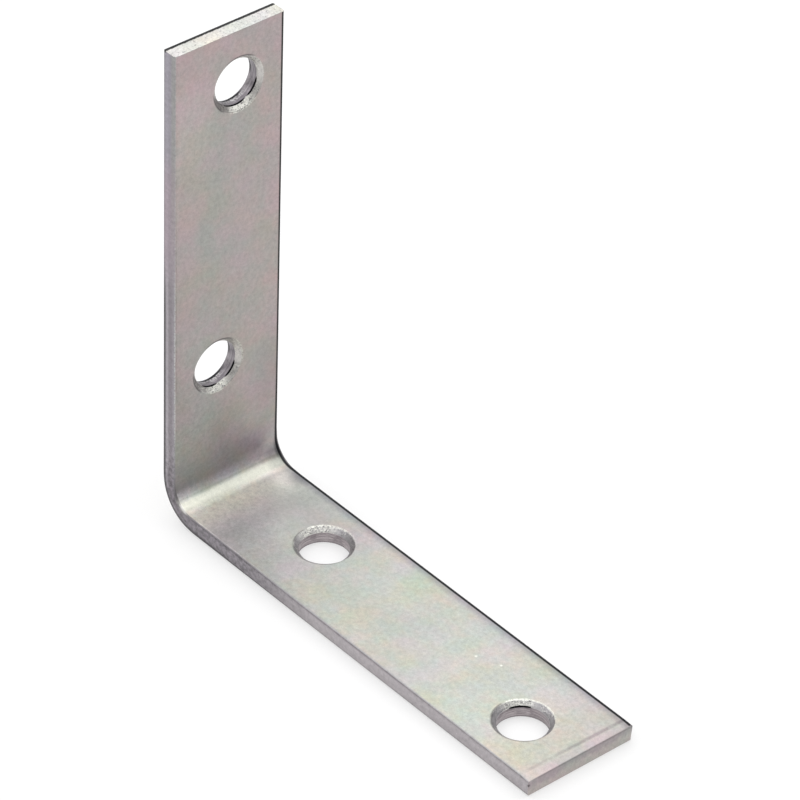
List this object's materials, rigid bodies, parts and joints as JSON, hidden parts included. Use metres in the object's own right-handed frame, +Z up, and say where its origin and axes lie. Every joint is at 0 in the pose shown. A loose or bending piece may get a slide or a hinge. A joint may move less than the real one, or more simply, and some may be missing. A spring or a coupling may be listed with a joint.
{
  "type": "corner brace bracket",
  "caption": "Right-angled corner brace bent from one flat steel strip, zinc plated, with staggered countersunk screw holes in both legs.",
  "frame": {"origin": "centre of the base leg's rectangle on its underside: midway between the upright's back and the base leg's sheared end, midway across the strip, on the surface that the brace stands on", "axes": "+X from the upright towards the base leg's sheared end, +Y across the strip, +Z up along the upright"},
  "size_m": [0.102, 0.025, 0.1016],
  "materials": {
    "zinc_plated_steel": "satin zinc plating over steel, with a faint pink, green and straw passivate tint"
  },
  "bodies": {
    "root": {"corner_brace": "zinc_plated_steel"}
  },
  "joints": []
}
